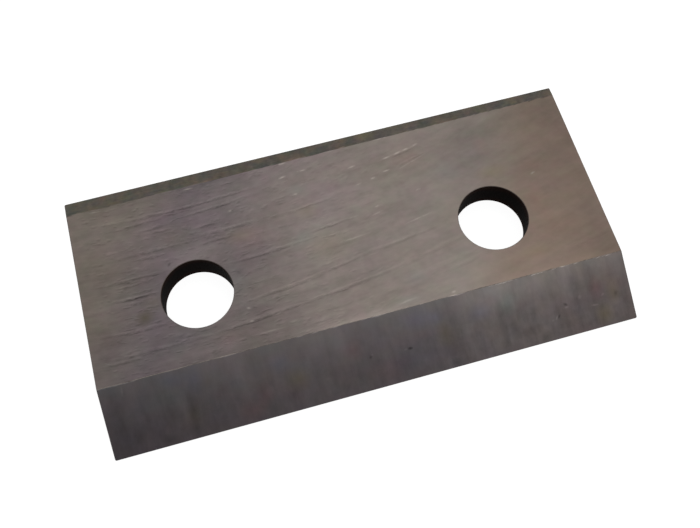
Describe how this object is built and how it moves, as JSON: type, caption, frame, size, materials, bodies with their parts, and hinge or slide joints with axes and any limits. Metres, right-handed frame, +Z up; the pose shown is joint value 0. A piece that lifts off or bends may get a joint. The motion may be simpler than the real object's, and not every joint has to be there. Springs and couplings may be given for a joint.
{
  "type": "chipper knife",
  "caption": "Flat reversible chipper knife of ground tool steel, with a bevelled cutting edge along each long side and clearance holes for its clamping bolts.",
  "frame": {"origin": "middle of the underside, where the knife rests on its seat", "axes": "+X along the knife, +Y across it from the front cutting edge to the back one, +Z up out of the top face"},
  "size_m": [0.1, 0.05, 0.006],
  "materials": {
    "ground_steel": "surface-ground tool steel with a fine lengthwise lay, bevels ground across the edge"
  },
  "bodies": {
    "root": {"knife": "ground_steel"}
  },
  "joints": []
}
